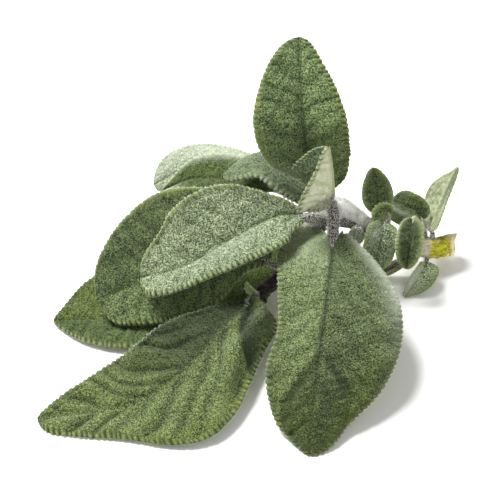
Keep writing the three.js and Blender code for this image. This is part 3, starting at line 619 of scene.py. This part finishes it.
SHOOTS = {
    "inner_side_shoot": dict(
        twig=[[29.5, 11, 12], [31.25, 10.75, 13.5], [32, 10.5, 16]], radii=[1.1, 1, 0.8],
        leaves=[
            dict(YOUNG, path=[[29.25, 11, 11], [31.25, 11.75, 14], [30.5, 12, 17], [29.5, 15.25, 22],
                              [28.5, 17.75, 27]], stalk=0.4, face=(0.2, -0.75, 0.6),
                 left=[2, 3.2, 3.9, 3.8, 3.2, 2.2, 1.2], right=[2, 3.2, 3.9, 3.8, 3.2, 2.2, 1.2], fold=(5, 5),
                 tone="dark"),
            dict(YOUNG, path=[[29.75, 10.5, 10], [32.25, 10.5, 13.5], [31.5, 10.5, 17], [30.5, 5.5, 14.5],
                              [28.5, 2.75, 7.25]], stalk=0.42, face=(0, -0.75, 0.66),
                 left=[2.4, 3.6, 3.9, 3.9, 3.7, 2.7, 1.3], right=[2.6, 4, 4.3, 4.3, 4.1, 3, 1.6],
                 fold=(5, 20),
                 tints=[("pale", 1, 0.25, 0.45, 0.25, 0.35, 0.3), ("lift", 0, 0.5, 0.5, 1, 1, -0.5),
                        ("lift", 1, 0.5, 0.5, 1, 1, -0.6)], tone="light"),
            dict(YOUNG, path=[[29.75, 10.5, 10], [32.25, 11, 14], [32.25, 11.75, 18.5], [30.5, 11, 19],
                              [29, 9, 17.5]], stalk=0.56, face=(0.1, -0.7, 0.7), left=oval(2), right=oval(2),
                 fold=(-15, -15), woody=0.3, tone="dark"),
        ]),
    "outer_side_shoot": dict(
        twig=[[41.5, 12, 6.25], [41.25, 13, 8.5], [41, 13.5, 10.5]], radii=[1.1, 1, 0.9],
        leaves=[
            dict(YOUNG, path=[[41.5, 12, 6.25], [41, 13.25, 10.5], [38.5, 12, 16], [37.5, 5.5, 15],
                              [36.5, 0.75, 10]], stalk=0.48, face=(0, -0.75, 0.66), left=oval(3.2),
                 right=oval(3.9), fold=(14, 22), rim=0.8, woody=0.3,
                 tints=[("pale", 0, 0.5, 1, 0.7, 0.1, 0.4), ("pale", 1, 0.4, 1, 0.5, 0.1, 0.3),
                        ("lift", 0, 0.5, 0.4, 0.8, 0.6, -0.9), ("lift", 1, 0.5, 0.4, 0.8, 0.6, -0.9)],
                 tone="dark"),
            dict(YOUNG, path=[[41.5, 12, 6.25], [41.25, 13.75, 10], [40.25, 15.25, 13.5], [37, 16.75, 15],
                              [33.75, 20, 14]], stalk=0.42, face=(0, -0.5, 0.8), left=oval(5.6),
                 right=[2, 3.3, 3.9, 3.9, 3.8, 3.2, 2], fold=(20, 10), woody=0.5,
                 tints=[("pale", 0, 0.5, 0.42, 0.6, 0.12, 0.35), ("dim", 1, 0.5, 0.5, 1, 1, 0.4),
                        ("dim", 0, 0.5, 1, 1, 0.35, 0.5)], tone="dark"),
            dict(YOUNG, path=[[41.5, 12, 6.25], [40.75, 14.75, 9.5], [39.25, 18.75, 11], [37.75, 24.75, 12]],
                 stalk=0.5, face=(0, -0.5, 0.8), left=oval(2.2), right=oval(2.2), fold=(20, 10),
                 tone="pale"),
        ]),
}
TIP_LEAF = dict(
    YOUNG, path=[[1.75, -4.75, 7.5], [0, -7.25, 10.75], [-1.5, -7, 13.25]], stalk=0.4, face=(-0.3, -0.6, 0.6),
    left=oval(1.2), right=oval(1.2), fold=(30, 30), tone="pale")
STEM = dict(
    path=[[48, 14, 5], [43, 12, 6], [35.5, 10.5, 9], [28.5, 11, 13], [19.5, 12, 18], [14, 9, 13],
          [8, 0, 10], [1.5, -5, 7.5]],
    radii=[2.9, 2.6, 2.1, 2.3, 2.8, 1.9, 1.9, 1.5])
KNOTS = ((0.56, 0.045, 1.0), (0.15, 0.03, 0.25), (0.43, 0.03, 0.2))  # (place, breadth, rise)

# ---- hairs and seeds ----
RIM_HAIRS = 9  # per millimetre of margin
STEM_DOWN = dict(first=0.21, last=0.72, density=26, longest=1.1, bare=0.2)
ABOUT_TWO_PI = 6.3
LEAF_SEED, SHOOT_SEED, TIP_SEED = 10, 50, 90

# ---- materials; colours are linear RGB, and pairs are the dark and the light end of a mottle ----
TONES = {  # upper faces of the blades; each tone is its leaves' own colour, made lighter or darker to match how bright they look under this light, so it also carries painted light and shade
    "mid": ((0.016, 0.030, 0.006), (0.28, 0.39, 0.145)),
    "deep": ((0.010, 0.020, 0.004), (0.195, 0.265, 0.095)),
    "broad": ((0.013, 0.023, 0.005), (0.235, 0.31, 0.122)),
    "far": ((0.007, 0.016, 0.002), (0.128, 0.19, 0.036)),
    "dark": ((0.009, 0.018, 0.003), (0.125, 0.185, 0.058)),
    "green": ((0.011, 0.020, 0.004), (0.22, 0.29, 0.095)),
    "light": ((0.035, 0.058, 0.018), (0.48, 0.57, 0.34)),
    "grey": ((0.016, 0.028, 0.008), (0.25, 0.33, 0.165)),
    "pale": ((0.120, 0.155, 0.080), (0.56, 0.62, 0.46)),
    "rosy": ((0.060, 0.045, 0.040), (0.42, 0.36, 0.32)),
}
MARGIN_GREENS = ((0.25, 0.32, 0.13), (0.30, 0.37, 0.09))
# painted shade in the notches between the teeth
NOTCH_PAINTED_SHADE = (0.012, 0.022, 0.004)
YELLOWS = ((0.022, 0.036, 0.002), (0.20, 0.26, 0.045))
DOWN_AND_PAINTED_LIGHT = (0.60, 0.66, 0.53)  # where hairs lie thick, and painted light and highlight where a place is lit
UNDERS = ((0.66, 0.70, 0.42), (0.94, 0.96, 0.74))
VEIN_UNDER = (0.40, 0.42, 0.14)
STALKS = ((0.060, 0.030, 0.034), (0.55, 0.52, 0.47))
PAINTED_SHADE_FACTOR = (0.25, 0.27, 0.22)  # painted shade: what a fully shaded place is multiplied by
SHEEN_GREEN = (0.80, 0.92, 0.70)
GRAIN_SIZE, GRAIN_RANGE = 0.3, (0.43, 0.57)
SPECK_SIZE, MOTTLE_SIZE, PATCH_SIZE, PEBBLE_CELLS = 0.14, 1.5, 8.0, 0.75
WARP_SIZE, WARP = 0.9, 0.0006  # WARP in metres

BARKS = ((0.20, 0.20, 0.004), (0.56, 0.53, 0.02))
BARK_TAN = (0.66, 0.54, 0.20)
BARK_SCAR = (0.20, 0.06, 0.015)
BARK_END = (0.88, 0.76, 0.46)
PINKS = ((0.40, 0.38, 0.22), (0.66, 0.56, 0.50))
FELTS = ((0.19, 0.155, 0.145), (0.80, 0.79, 0.74))
FELT_THICK = (0.80, 0.80, 0.74)
BROWNS = ((0.10, 0.07, 0.06), (0.50, 0.46, 0.40))
DARKS = ((0.010, 0.007, 0.009), (0.07, 0.05, 0.055))
# painted shade on the side of the stem that faces down and forward
STEM_PAINTED_SHADE = (0.035, 0.018, 0.016)
SHEEN_GREY = (0.9, 0.88, 0.85)
WOODS = ((0.78, 0.68, 0.40), (0.95, 0.90, 0.72))
WOOD_GREEN = (0.66, 0.60, 0.22)
HAIRS = ((0.62, 0.66, 0.58), (0.85, 0.87, 0.82))
PAPERS = ((0.88, 0.88, 0.87), (0.9, 0.9, 0.89))

# where one skin of the stem turns into the next, and where its painted shade starts, from the cut end at 0 to
# the tip at 1
END_UNTIL = (0.065, 0.045)
PINK_FROM = (0.155, 0.185)
FELT_FROM = (0.21, 0.27)
BROWN_FROM, BROWN_UNTIL = (0.26, 0.32), (0.52, 0.44)
PAINTED_SHADE_FROM = (0.28, 0.36)
DARK_FROM = (0.62, 0.72)
BELOW = (0.0, -0.6, -0.8)  # the way the side of the stem with painted shade faces


class Nodes:
    """A short way to write a material's node tree."""

    def __init__(self, name):
        self.material = bpy.data.materials.new(name)
        self.material.use_nodes = True
        self.tree = self.material.node_tree
        self.shader = self.tree.nodes["Principled BSDF"]
        self.given = self.node("TexCoord").outputs
        self.place = self.given["Object"]

    def node(self, kind, inputs=None, **settings):
        """A new node; inputs holds values and links, by the name or number of the socket."""
        made = self.tree.nodes.new("ShaderNode" + kind)
        for key, value in settings.items():
            setattr(made, key, value)
        self.put(made, inputs or {})
        return made

    def put(self, node, inputs):
        for key, value in inputs.items():
            socket = node.inputs[key]
            if isinstance(value, bpy.types.NodeSocket):
                self.tree.links.new(value, socket)
            else:
                socket.default_value = (*value, 1) if socket.type == "RGBA" else value

    def attribute(self, name):
        return self.node("Attribute", attribute_name=name).outputs["Fac"]

    def maths(self, operation, a, b, c=0.0):
        return self.node("Math", {0: a, 1: b, 2: c}, operation=operation).outputs[0]

    def times(self, a, b):
        return self.maths("MULTIPLY", a, b)

    def times_plus(self, a, b, c):
        return self.maths("MULTIPLY_ADD", a, b, c)

    def vector_maths(self, operation, *values):
        return self.node("VectorMath", dict(enumerate(values)), operation=operation).outputs

    def ramp(self, value, low, high, to_low=0.0, to_high=1.0):
        inputs = {0: value, 1: low, 2: high, 3: to_low, 4: to_high}
        return self.node("MapRange", inputs, clamp=True, interpolation_type="SMOOTHSTEP").outputs[0]

    def blend(self, factor, a, b, mode="MIX"):
        inputs = {"Factor": factor, 6: a, 7: b}
        return self.node("Mix", inputs, data_type="RGBA", blend_type=mode, clamp_factor=True).outputs[2]

    def noise(self, size, detail=2.0, rough=0.5, place=None, output="Fac"):
        inputs = {"Vector": place or self.place, "Scale": 1 / (size * MM), "Detail": detail,
                  "Roughness": rough}
        return self.node("TexNoise", inputs).outputs[output]

    def cells(self, size, place):
        inputs = {"Vector": place, "Scale": 1 / (size * MM)}
        return self.node("TexVoronoi", inputs, feature="F1").outputs["Distance"]

    def bump(self, height, strength, distance):
        inputs = {"Strength": strength, "Distance": distance * MM, "Height": height}
        self.put(self.shader, {"Normal": self.node("Bump", inputs).outputs[0]})

    def finish(self, colour, roughness, sheen, tint=SHEEN_GREEN):
        self.put(self.shader, {"Base Color": colour, "Roughness": roughness, "Specular IOR Level": 0.25,
                               "Sheen Weight": sheen, "Sheen Roughness": 0.4, "Sheen Tint": tint})
        return self.material


def leaf_material(name, dark, light):
    """Skin of a blade and its stalk; the mesh attributes say where each colour goes."""
    n = Nodes(name)
    vein, mid, lift = (n.attribute(key) for key in ("vein", "mid", "lift"))
    warp = n.noise(WARP_SIZE, output="Color")
    warped = n.vector_maths("MULTIPLY_ADD", warp, (WARP, WARP, WARP), n.place)[0]
    grain = n.ramp(n.noise(GRAIN_SIZE, 2.0, 0.55, warped), *GRAIN_RANGE)
    speck = n.noise(SPECK_SIZE, 1.0)
    mottle = n.noise(MOTTLE_SIZE)
    pebble = n.ramp(n.cells(PEBBLE_CELLS, warped), 0.8, 0.2)

    # the upper face: fine grain, then broader and broader mottles, then veins, then painted light and shade,
    # then yellowing
    fine = n.times(grain, n.ramp(speck, 0.3, 0.6, 0.5, 1.0))
    amount = n.times_plus(fine, 0.85, n.ramp(mottle, 0.3, 0.7, 0.0, 0.08))
    amount = n.maths("ADD", amount, n.ramp(n.noise(PATCH_SIZE), 0.3, 0.7, 0.0, 0.06))
    amount = n.times_plus(pebble, 0.08, amount)
    amount = n.times_plus(vein, -0.12, amount)
    amount = n.times_plus(mid, -0.12, amount)
    # painted light and shade: lift makes a place lighter or darker
    amount = n.times_plus(lift, n.times_plus(grain, 0.3, 0.15), amount)
    top = n.blend(amount, dark, light)
    yellow = n.blend(n.times_plus(lift, 0.3, fine), *YELLOWS)
    top = n.blend(n.attribute("yellow"), top, yellow)

    # the underside
    below = n.blend(n.times_plus(grain, 0.5, n.ramp(mottle, 0.3, 0.7, 0.0, 0.5)), *UNDERS)
    below = n.blend(n.times(n.maths("MAXIMUM", vein, mid), 0.6), below, VEIN_UNDER)
    colour = n.blend(n.attribute("under"), top, below)

    # the margin, painted shade in its notches, the pale places (thick down, and painted light and highlight),
    # the stalk, and the painted shade
    margin = n.blend(n.ramp(n.noise(3.0, 1.0), 0.35, 0.65), *MARGIN_GREENS)
    edge = n.times(n.attribute("edge"), n.ramp(speck, 0.3, 0.6, 0.45, 0.95))
    colour = n.blend(edge, colour, margin)
    colour = n.blend(n.times(n.attribute("notch"), 0.95), colour, NOTCH_PAINTED_SHADE)
    pale = n.times(n.attribute("pale"), n.ramp(speck, 0.25, 0.65, 0.6, 1.0))
    colour = n.blend(pale, colour, DOWN_AND_PAINTED_LIGHT)
    stalk = n.blend(n.ramp(n.noise(0.35, 3.0), 0.42, 0.6), *STALKS)
    colour = n.blend(n.attribute("stalky"), colour, stalk)
    # painted shade: darkens the listed places as if they lay in shade
    colour = n.blend(n.attribute("dim"), colour, PAINTED_SHADE_FACTOR, "MULTIPLY")
    n.bump(n.times_plus(pebble, 0.5, grain), 0.9, 0.22)
    return n.finish(colour, 0.85, 0.25)


def stem_material():
    """Skin of the stem: bark at the cut end, then pink, then grey felt, then dark young stem; painted shade
    darkens the side that faces down and forward.
    """
    n = Nodes("stem_skin")
    streak = n.node("Mapping", {"Vector": n.place, "Scale": (0.25, 1.0, 1.0)})
    lines = n.noise(0.5, 4.0, 0.6, streak.outputs[0])
    down = n.noise(0.22)
    blotch = n.noise(3.0, 3.0)
    broad = n.noise(1.6)
    place = n.attribute("along")
    bark = n.blend(n.ramp(lines, 0.35, 0.65), *BARKS)
    bark = n.blend(n.ramp(broad, 0.56, 0.68), bark, BARK_TAN)
    bark = n.blend(n.ramp(blotch, 0.58, 0.70), bark, BARK_SCAR)
    bark = n.blend(n.ramp(n.times_plus(broad, 0.04, place), *END_UNTIL), bark, BARK_END)
    pink = n.blend(n.ramp(lines, 0.35, 0.65), *PINKS)
    felt = n.blend(n.ramp(down, 0.34, 0.52), *FELTS)
    felt = n.blend(n.ramp(blotch, 0.40, 0.70, 0.0, 0.8), felt, FELT_THICK)
    colour = n.blend(n.ramp(place, *PINK_FROM), bark, pink)
    colour = n.blend(n.ramp(place, *FELT_FROM), colour, felt)
    brown = n.blend(n.ramp(down, 0.42, 0.58), *BROWNS)
    worn = n.times(n.ramp(place, *BROWN_FROM), n.ramp(place, *BROWN_UNTIL))
    colour = n.blend(n.times(worn, 0.8), colour, brown)
    # painted shade: past the node, the side facing down and forward is darkened, broken up by the down's
    # noise
    facing = n.vector_maths("DOT_PRODUCT", n.given["Normal"], BELOW)["Value"]
    shade = n.times(n.ramp(facing, 0.0, 0.3), n.ramp(place, *PAINTED_SHADE_FROM))
    shade = n.times(shade, n.ramp(down, 0.62, 0.45, 0.3, 1.0))
    colour = n.blend(shade, colour, STEM_PAINTED_SHADE)
    dark = n.blend(n.ramp(lines, 0.4, 0.7), *DARKS)
    colour = n.blend(n.ramp(place, *DARK_FROM), colour, dark)
    n.bump(n.maths("ADD", lines, down), 0.8, 0.3)
    return n.finish(colour, 0.75, 0.25, SHEEN_GREY)


def cut_material():
    n = Nodes("cut_wood")
    fibres = n.noise(0.35, 3.0)
    colour = n.blend(n.ramp(fibres, 0.3, 0.7), *WOODS)
    colour = n.blend(n.ramp(n.noise(1.6), 0.60, 0.8), colour, WOOD_GREEN)
    n.bump(fibres, 0.6, 0.3)
    return n.finish(colour, 0.7, 0.0)


def hair_material():
    n = Nodes("white_hair")
    return n.finish(n.blend(n.noise(2.0, 1.0), *HAIRS), 0.6, 0.1)


def floor_material():
    n = Nodes("floor_paper")
    return n.finish(n.blend(n.noise(60), *PAPERS), 0.9, 0.0)


SKINS = {tone: leaf_material("leaf_" + tone, *pair) for tone, pair in TONES.items()}

# ---- building ----
rims = []  # of every margin: its points, outward directions and upward directions
downy = []  # of every stalk, twig and stem: the rings that bear hairs, and which hairs


def note_rim(upper, normal):
    for column, inner in ((0, 3), (-1, -4)):
        line = upper[2:-2, column]
        rims.append((line, unit(line - upper[2:-2, inner]), normal[2:-2, column]))


def note_down(rings, first=0, last=1.0, density=12, longest=0.7, bare=2):
    """Keeps the rings between two shares; density is hairs per square mm, bare the facing that has none."""
    count = len(rings)
    used = rings[int(count * first):max(2, int(count * min(last, 1)))]
    downy.append((used, density, longest, bare))


def ride(obj, node):
    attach(obj, "root")
    if node:
        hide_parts(node)


def build_leaves():
    for number, (name, spec) in enumerate(LEAVES.items()):
        leaf = {**LEAF_DEFAULTS, **spec}
        parts = Parts(LEAF_KEYS)
        note_rim(*add_blade(parts, leaf, LEAF_SEED + number))
        note_down(add_stalk(parts, leaf), last=leaf["stalk"] * 1.3)
        made = parts.build(name + "_fine", [SKINS[leaf["tone"]]])
        ride(made, name)


def build_shoots():
    for number, (name, spec) in enumerate(SHOOTS.items()):
        parts = Parts(LEAF_KEYS)
        tones = []
        for k, young in enumerate(spec["leaves"]):
            leaf = {**LEAF_DEFAULTS, **young}
            if leaf["tone"] not in tones:
                tones.append(leaf["tone"])
            slot = tones.index(leaf["tone"])
            note_rim(*add_blade(parts, leaf, SHOOT_SEED + 5 * number + k, slot))
            reach = 1.2 if leaf["woody"] == 1 else 0.7
            note_down(add_stalk(parts, leaf, slot), last=leaf["stalk"] * reach)
        curve, _ = even_curve(spec["twig"], TWIG_RINGS)
        radii = along(spec["radii"], np.linspace(0, 1, TWIG_RINGS))
        note_down(add_tube(parts, curve, radii, 16, under=1.0, stalky=1.0))
        made = parts.build(name + "_fine", [SKINS[t] for t in tones])
        ride(made, name)


def build_stem():
    t = np.linspace(0, 1, STEM_RINGS)
    knots = sum(rise * bell((t - place) / breadth) for place, breadth, rise in KNOTS)
    radii = along(STEM["radii"], t) + knots - 0.12
    coarse, fine = Waves(3, 2.2, 9), Waves(4, 0.9, 9)
    parts = Parts(("along",))
    rings = add_tube(parts, along(STEM["path"], t), radii, 48, cap_slot=1, slant=(-0.35, -0.75),
                     square=0.05, bumps=lambda p: 0.09 * coarse(p) + 0.04 * fine(p), along=t)
    note_down(rings, **STEM_DOWN)
    ride(parts.build("stem_fine", [stem_material(), cut_material()]), "stem")


def build_tip_leaf():
    parts = Parts(LEAF_KEYS)
    leaf = {**LEAF_DEFAULTS, **TIP_LEAF}
    note_rim(*add_blade(parts, leaf, TIP_SEED))
    add_stalk(parts, leaf)
    ride(parts.build("tip_leaf_fine", [SKINS[leaf["tone"]]]), None)


# ---- hairs: thin three-sided cones ----
def hairs(name, roots, directions, lengths, radius, material):
    directions = unit(directions)
    helper = np.where(np.abs(directions[:, :1]) < 0.8, [[1.0, 0, 0]], [[0, 1.0, 0]])
    a = unit(np.cross(directions, helper))
    b = np.cross(directions, a)
    turn = (np.arange(3) * 2 * np.pi / 3)[None, :, None]
    ring = roots[:, None] + radius * (a[:, None] * np.cos(turn) + b[:, None] * np.sin(turn))
    tips = roots + directions * lengths[:, None]
    points = join([ring, tips[:, None]], 1).reshape(-1, 3)
    first = (np.arange(len(roots)) * 4)[:, None, None]
    sides = np.array([[0, 1, 3], [1, 2, 3], [2, 0, 3]])
    faces = (first + sides).reshape(-1, 3).tolist()
    ride(make_object(name, points, faces, [material]), None)


def spread(rng, vectors, amount):
    return unit(vectors + rng.normal(size=vectors.shape) * amount)


def line_length(line):
    return np.linalg.norm(np.diff(line, axis=0), axis=1).sum()


def margin_hairs(material):
    rng = np.random.default_rng(7)
    roots, ways = [], []
    for line, outward, upward in rims:
        at = rng.uniform(0, len(line) - 1, int(line_length(line) * RIM_HAIRS)) / (len(line) - 1)
        roots.append(sample(line, at))
        lean = rng.uniform(-0.6, 0.9, (len(at), 1))
        ways.append(spread(rng, sample(outward, at) + sample(upward, at) * lean, 0.35))
    roots, ways = join(roots), join(ways)
    lengths = rng.uniform(0.2, 0.45, len(roots))
    hairs("margin_down", roots - ways * 0.05, ways, lengths, 0.03, material)


def stem_hairs(material):
    rng = np.random.default_rng(8)
    roots, ways, sizes = [], [], []
    for rings, density, longest, bare in downy:
        centre = rings.mean(1, keepdims=True)
        out = unit(rings - centre)
        area = line_length(rings[:, 0]) * np.linalg.norm(rings[0, 0] - centre[0, 0]) * ABOUT_TWO_PI
        n = int(area * density)
        k = rng.integers(0, len(rings), n)
        j = rng.integers(0, rings.shape[1], n)
        keep = out[k, j] @ np.array(BELOW) < bare
        roots.append((rings[k, j] + rng.normal(size=(n, 3)) * 0.05)[keep])
        ways.append(spread(rng, out[k, j], 0.5)[keep])
        sizes.append(rng.uniform(0.4, longest, n)[keep])
    roots, ways, sizes = map(join, (roots, ways, sizes))
    hairs("stem_down", roots, ways, sizes, 0.035, material)


# ---- studio; these sizes are in metres ----
SKY = 0.46
LIGHT_AIM = (0, 0, 0.02)
LIGHTS = {"key": dict(place=(-0.4, 0.36, 0.83), size=0.5, power=21),
          "fill": dict(place=(0.5, -0.6, 0.6), size=0.8, power=1.5)}
FLOOR_HALF = 3.0
CAMERA_ELEVATION = math.radians(45)
CAMERA_TARGET = np.array([-0.5, 3.2, 14]) * MM
CAMERA_DISTANCE = 590 * MM
LENS, SENSOR = 180, 36


def area_light(name, place, size, power):
    data = bpy.data.lights.new(name, "AREA")
    data.shape = "DISK"
    data.size = size
    data.energy = power
    light = add_to_scene(name, data)
    light.location = place
    light.rotation_euler = (Vector(LIGHT_AIM) - Vector(place)).to_track_quat("-Z", "Y").to_euler()


def studio():
    world = bpy.data.worlds.new("studio")
    world.use_nodes = True
    background = world.node_tree.nodes["Background"]
    background.inputs["Color"].default_value = (1, 1, 1, 1)
    background.inputs["Strength"].default_value = SKY
    bpy.context.scene.world = world
    for name, light in LIGHTS.items():
        area_light(name, **light)
    corners = [(x * FLOOR_HALF, y * FLOOR_HALF, 0) for x, y in ((-1, -1), (1, -1), (1, 1), (-1, 1))]
    mesh = bpy.data.meshes.new("floor")
    mesh.from_pydata(corners, [], [(0, 1, 2, 3)])
    mesh.materials.append(floor_material())
    add_to_scene("floor", mesh)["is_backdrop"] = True
    bpy.context.scene.view_settings.view_transform = "Standard"


def camera():
    data = bpy.data.cameras.new("camera")
    data.lens = LENS
    data.sensor_width = SENSOR
    data.clip_start, data.clip_end = 0.01, 10
    eye = add_to_scene("camera", data)
    away = np.array([0, -math.cos(CAMERA_ELEVATION), math.sin(CAMERA_ELEVATION)])
    eye.location = CAMERA_TARGET + CAMERA_DISTANCE * away
    eye.rotation_euler = (math.pi / 2 - CAMERA_ELEVATION, 0, 0)
    bpy.context.scene.camera = eye


build_leaves()
build_shoots()
build_stem()
build_tip_leaf()
white = hair_material()
margin_hairs(white)
stem_hairs(white)
studio()
camera()
bpy.context.view_layer.update()
